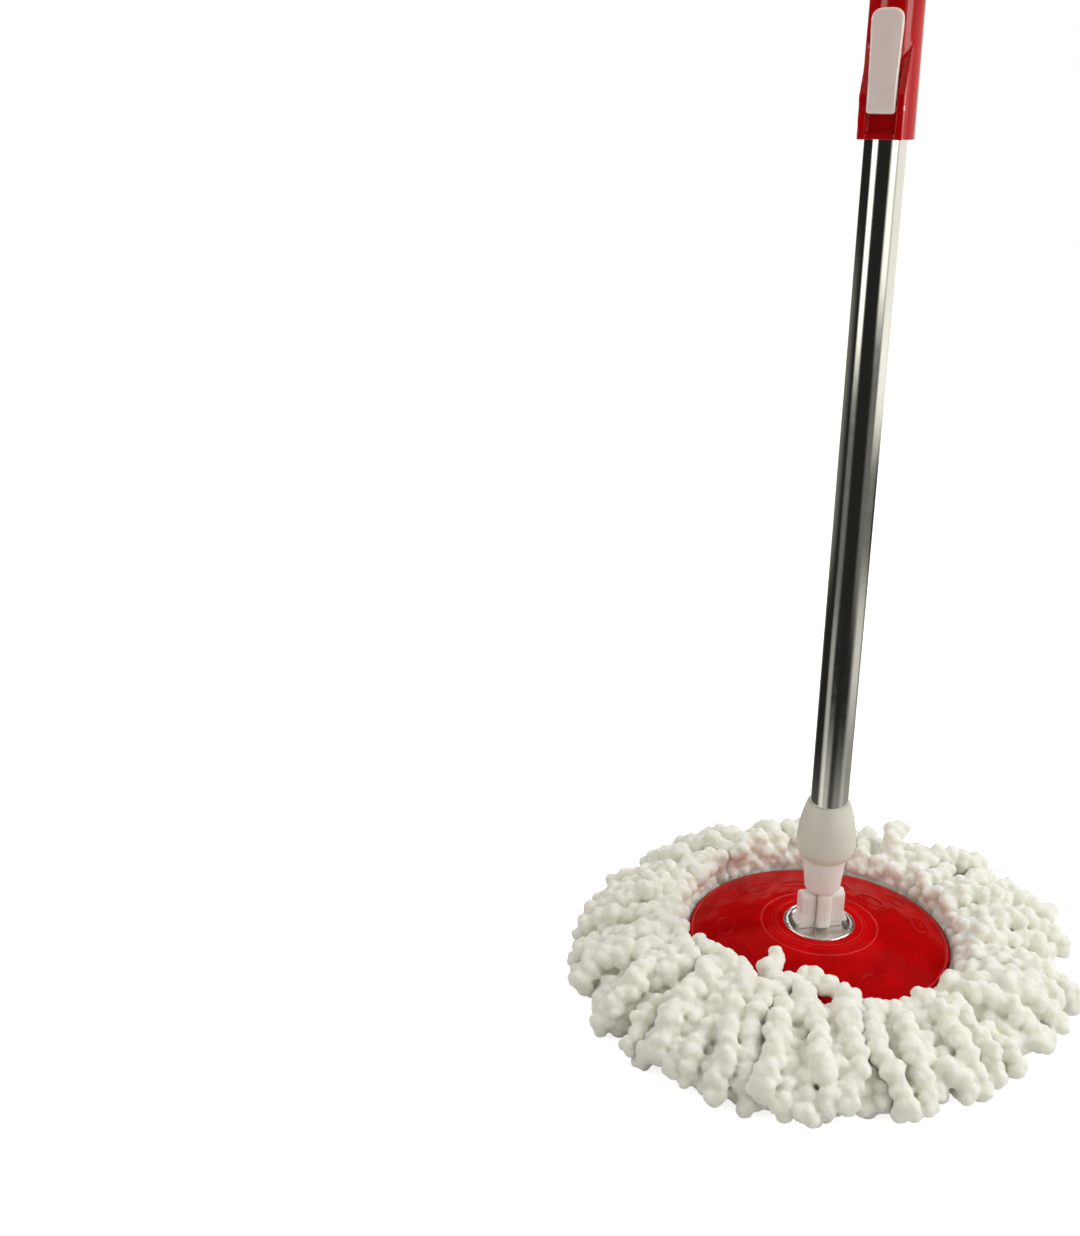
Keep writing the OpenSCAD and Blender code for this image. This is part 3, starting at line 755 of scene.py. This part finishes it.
def band_sector(i):
    """The sewn band of one bundle, as a closed ring sector."""
    steps = 8
    edge = 0.3
    start = BUNDLE_START + BUNDLE_SPAN * i + edge
    turns = np.linspace(start, start + BUNDLE_SPAN - 2 * edge, steps + 1)
    corners = [
        (BAND_IN_R, BAND_LOW_Z), (BAND_OUT_R, BAND_LOW_Z),
        (BAND_OUT_R, BAND_TOP_Z), (BAND_IN_R, BAND_TOP_Z),
    ]
    points = [polar(r, a, z) for a in turns for r, z in corners]
    faces = []
    for s in range(steps):
        for c in range(4):
            a, b = 4 * s + c, 4 * s + (c + 1) % 4
            faces += [(a, b, b + 4), (a, b + 4, a + 4)]
    last = 4 * steps
    faces += [(0, 2, 1), (0, 3, 2), (last, last + 1, last + 2), (last, last + 2, last + 3)]
    return np.array(points), np.array(faces)


def fluff(points):
    """Small dents and tufts of the pile, and a flat sole on the floor."""
    moved = points.copy()
    for i, p in enumerate(points):
        coarse = noise.noise_vector(Vector(p) / 3.1)
        fine = noise.noise_vector(Vector(p) / 1.3 + Vector((7, 3, 1)))
        moved[i] += 0.45 * np.array(coarse) + 0.2 * np.array(fine)
    moved[:, 2] = np.maximum(moved[:, 2], 0.0)
    return moved


def one_skin(name, points, faces):
    """A mesh whose single skin wraps all the closed forms in points and faces."""
    raw = bpy.data.meshes.new(name + "_raw")
    raw.from_pydata(points * MM, [], faces.tolist())
    holder = bpy.data.objects.new(name + "_raw", raw)
    bpy.context.collection.objects.link(holder)
    remesh_and_relax(holder, VOXEL, 1)
    depsgraph = bpy.context.evaluated_depsgraph_get()
    mesh = bpy.data.meshes.new_from_object(holder.evaluated_get(depsgraph))
    bpy.data.objects.remove(holder)
    bpy.data.meshes.remove(raw)
    mesh.name = name
    return mesh


def make_bundle(i, strands, ball):
    """One bundle: lumps and band merged into a single skin, then relaxed and fluffed."""
    ball_points, ball_faces = ball
    points, faces = band_sector(i)
    all_points, all_faces, start = [points], [faces], len(points)
    for strand in strands:
        if strand.bundle != i:
            continue
        for x, y, z, radius in strand_lumps(strand):
            all_points.append(ball_points * radius + (x, y, z))
            all_faces.append(ball_faces + start)
            start += len(ball_points)
    name = f"strings_{i + 1:02d}"
    mesh = one_skin(name, np.vstack(all_points), np.vstack(all_faces))
    co = np.zeros(len(mesh.vertices) * 3)
    mesh.vertices.foreach_get("co", co)
    co = fluff(co.reshape(-1, 3) / MM) * MM
    mesh.vertices.foreach_set("co", co.ravel())
    mesh.polygons.foreach_set("use_smooth", [True] * len(mesh.polygons))
    mesh.update()
    obj = bpy.data.objects.new(name, mesh)
    bpy.context.collection.objects.link(obj)
    dress(obj, PILE)
    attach(obj, "head")
    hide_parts(f"string_bundle_{i + 1:02d}")


# Stage: sizes in metres, directions from the camera's side

FLOOR_SIZE = 8
FLOOR_COLOR = (0.70, 0.70, 0.675, 1)
# The part of the floor's white that only the camera sees
FLOOR_GLOW = 0.80
WHITE = (1, 1, 1, 1)
# Strips of the room that polished pieces mirror: direction, half width and soft edge in degrees,
# lowest and highest upward part of the direction, brightness
STRIPS = [
    (-54, 14, 12, -0.17, 0.1, 1.4),
    (54, 18, 16, -0.14, 0.1, 1.15),
    (137, 60, 14, -0.22, 0.08, 0.85),
    (-178, 16, 40, -0.3, 0.08, 0.65),
    (-140, 35, 50, -0.31, -0.11, 0.13),
    (-53, 16, 18, -0.34, -0.15, 0.12),
    (85, 45, 20, -0.34, -0.14, 0.12),
    (-58, 14, 16, -1.0, -0.34, 0.34),
    (-37, 25, 20, -1.0, -0.42, 0.38),
    (55, 34, 24, -1.0, -0.43, 0.16),
    (115, 50, 26, -1.0, -0.31, 0.24),
    (105, 28, 16, -0.4, -0.33, 0.34),
    (-165, 24, 20, -1.0, -0.3, 0.1),
    (0, 180, 10, -1.0, -0.45, 0.1),
    (165, 55, 40, 0.22, 0.62, 0.07),
    (180, 180, 10, 0.6, 1.0, 0.45),
]
# Softness of a strip's lower and upper edge, and the room between the strips
STRIP_SOFT = 0.03
ROOM_DARK = 0.016
ROOM_TINT = (1.0, 0.985, 0.9, 1)
# Soft light for everything else: its brighter side, its least and greatest strength, and its colour
AMBIENT_SIDE = 120
AMBIENT = (0.26, 0.46)
AMBIENT_TINT = (1.0, 0.985, 0.93, 1)
# The point that the lamps face
LIT_POINT = (0, 0, 0.1)


def make_floor():
    """A pale floor, white to the camera apart from the object's soft shadow."""
    bpy.ops.mesh.primitive_plane_add(size=FLOOR_SIZE)
    floor = bpy.context.object
    floor.name = "floor"
    floor.visible_glossy = False
    material, tree, shader = new_material("floor_white")
    fill(shader, Base_Color=FLOOR_COLOR, Roughness=0.9)
    glow = add_node(tree, "Emission", Color=WHITE)
    path = add_node(tree, "LightPath")
    seen = math_node(tree, "MULTIPLY", path.outputs["Is Camera Ray"], FLOOR_GLOW)
    tree.links.new(seen, glow.inputs["Strength"])
    both = add_node(tree, "AddShader")
    tree.links.new(shader.outputs["BSDF"], both.inputs[0])
    tree.links.new(glow.outputs["Emission"], both.inputs[1])
    tree.links.new(both.outputs["Shader"], tree.nodes["Material Output"].inputs["Surface"])
    dress(floor, material)


def mirrored_room(tree, turn, height):
    """Brightness of the room that polished pieces mirror, by direction and upward part."""
    total = ROOM_DARK
    for centre, half, edge, low, high, brightness in STRIPS:
        away = math_node(tree, "SUBTRACT", turn, math.radians(centre))
        away = math_node(tree, "WRAP", away, math.pi, -math.pi)
        away = math_node(tree, "ABSOLUTE", away)
        across = ease(tree, away, math.radians(half + edge / 2), math.radians(half - edge / 2))
        floor_side = ease(tree, height, low - STRIP_SOFT, low + STRIP_SOFT)
        sky_side = ease(tree, height, high + STRIP_SOFT, high - STRIP_SOFT)
        share = math_node(tree, "MULTIPLY", math_node(tree, "MULTIPLY", across, floor_side), sky_side)
        total = math_node(tree, "MULTIPLY_ADD", share, brightness, total)
    return total


def make_world():
    """White to the camera, soft light for the object, and a room with windows in the mirror."""
    world = bpy.data.worlds.new("studio")
    bpy.context.scene.world = world
    world.use_nodes = True
    tree = world.node_tree
    tree.nodes.clear()
    place = add_node(tree, "TexCoord")
    parts = add_node(tree, "SeparateXYZ")
    tree.links.new(place.outputs["Generated"], parts.inputs["Vector"])
    turn = math_node(tree, "ARCTAN2", parts.outputs["Y"], parts.outputs["X"])
    turn = math_node(tree, "SUBTRACT", turn, math.radians(CAMERA_SIDE))
    mirror = add_node(tree, "Background", Color=ROOM_TINT)
    tree.links.new(mirrored_room(tree, turn, parts.outputs["Z"]), mirror.inputs["Strength"])
    lit_side = math_node(tree, "COSINE", math_node(tree, "SUBTRACT", turn, math.radians(AMBIENT_SIDE)))
    amount = add_node(tree, "MapRange", From_Min=-1, To_Min=AMBIENT[0], To_Max=AMBIENT[1])
    tree.links.new(lit_side, amount.inputs["Value"])
    soft = add_node(tree, "Background", Color=AMBIENT_TINT)
    tree.links.new(amount.outputs["Result"], soft.inputs["Strength"])
    white = add_node(tree, "Background", Color=WHITE, Strength=1.0)
    path = add_node(tree, "LightPath")
    unseen = add_node(tree, "MixShader")
    tree.links.new(path.outputs["Is Glossy Ray"], unseen.inputs["Fac"])
    tree.links.new(soft.outputs[0], unseen.inputs[1])
    tree.links.new(mirror.outputs[0], unseen.inputs[2])
    whole = add_node(tree, "MixShader")
    tree.links.new(path.outputs["Is Camera Ray"], whole.inputs["Fac"])
    tree.links.new(unseen.outputs[0], whole.inputs[1])
    tree.links.new(white.outputs[0], whole.inputs[2])
    out = add_node(tree, "OutputWorld")
    tree.links.new(whole.outputs[0], out.inputs["Surface"])


def make_light(name, turn, distance, height, size, power, color=(1, 1, 1)):
    """A soft box in a direction from the camera's side, facing the head; power is in watts."""
    data = bpy.data.lights.new(name, "AREA")
    data.shape = "SQUARE"
    data.size = size
    data.energy = power
    data.color = color
    light = bpy.data.objects.new(name, data)
    bpy.context.collection.objects.link(light)
    a = math.radians(CAMERA_SIDE + turn)
    light.location = (distance * math.cos(a), distance * math.sin(a), height)
    toward = Vector(LIT_POINT) - light.location
    light.rotation_euler = toward.to_track_quat("-Z", "Y").to_euler()
    light.visible_camera = False


make_camera()
make_world()
make_floor()
make_light("key_light", 105, 1.5, 1.5, 1.0, 16)
make_light("left_light", -95, 1.6, 1.3, 0.9, 6, (1, 0.91, 0.85))
make_light("top_light", 180, 0.5, 2.2, 1.2, 7)
make_light("right_window", 55, 1.6, 0.75, 0.7, 6)
make_light("left_window", -56, 1.6, 0.75, 0.7, 3)
dress_nodes()
make_plate()
make_dish()
remesh_and_relax(nodes["hub_yoke"], 0.4, 8)
remesh_and_relax(nodes["neck_knuckle"], 0.45, 14)
remesh_and_relax(nodes["clamp_body"], 0.5, 3)
remesh_and_relax(nodes["lock_lever"], 0.4, 70)
ball = ball_template()
strands = lay_strands()
for number in range(BUNDLES):
    make_bundle(number, strands, ball)
bpy.context.scene.view_settings.view_transform = "Standard"
